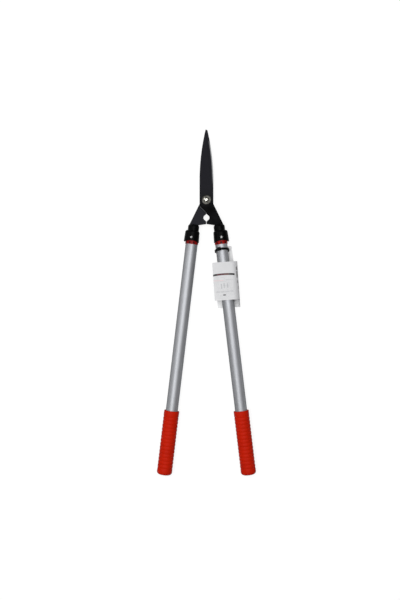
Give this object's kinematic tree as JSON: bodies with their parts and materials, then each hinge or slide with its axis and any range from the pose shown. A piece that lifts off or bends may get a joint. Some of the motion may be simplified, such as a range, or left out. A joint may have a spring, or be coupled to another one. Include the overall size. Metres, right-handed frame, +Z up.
{
  "type": "hedge shears",
  "caption": "Hand hedge shears with lapped black blades on a bolted pivot, long aluminium tube handles, ribbed red grips and a card tag tied to one handle.",
  "frame": {"origin": "under the middle of the closed shears' outline, on the surface that they lie on", "axes": "+X to the right handle, +Y along the centre line towards the blade tip, +Z up along the pivot bolt towards its head"},
  "size_m": [0.2302, 0.8027, 0.0388],
  "materials": {
    "blade_coat": "black satin coat on forged steel",
    "plated_steel": "bright zinc plate",
    "bush_bronze": "turned bronze",
    "spacer_nylon": "natural nylon",
    "socket_black": "moulded black",
    "sleeve_red": "moulded red",
    "plug_nylon": "natural nylon",
    "rivet_steel": "bright",
    "tube_aluminium": "satin anodised",
    "grip_red": "red vinyl, slightly shiny",
    "tie_black": "black nylon",
    "tag_card": "white coated card"
  },
  "bodies": {
    "left_half": {"rear_blade": "blade_coat", "pivot_bolt": "plated_steel", "front_washer": "plated_steel", "spacer_washer": "spacer_nylon", "rear_washer": "plated_steel", "lock_nut": "plated_steel", "nut_insert": "spacer_nylon", "left_socket": "socket_black", "left_sleeve": "sleeve_red", "left_tang_plug": "plug_nylon", "left_rivet": "rivet_steel", "left_tube": "tube_aluminium", "left_grip": "grip_red"},
    "right_half": {"front_blade": "blade_coat", "pivot_bush": "bush_bronze", "right_socket": "socket_black", "right_sleeve": "sleeve_red", "right_tang_plug": "plug_nylon", "right_rivet": "rivet_steel", "right_tube": "tube_aluminium", "right_grip": "grip_red", "cable_tie": "tie_black", "hang_tag": "tag_card"}
  },
  "joints": [
    {"name": "pivot", "type": "hinge", "parent": "left_half", "child": "right_half", "pos_m": [0, 0.2384, 0.01775], "axis": [0, 0, 1], "range_deg": [0, 75]}
  ]
}
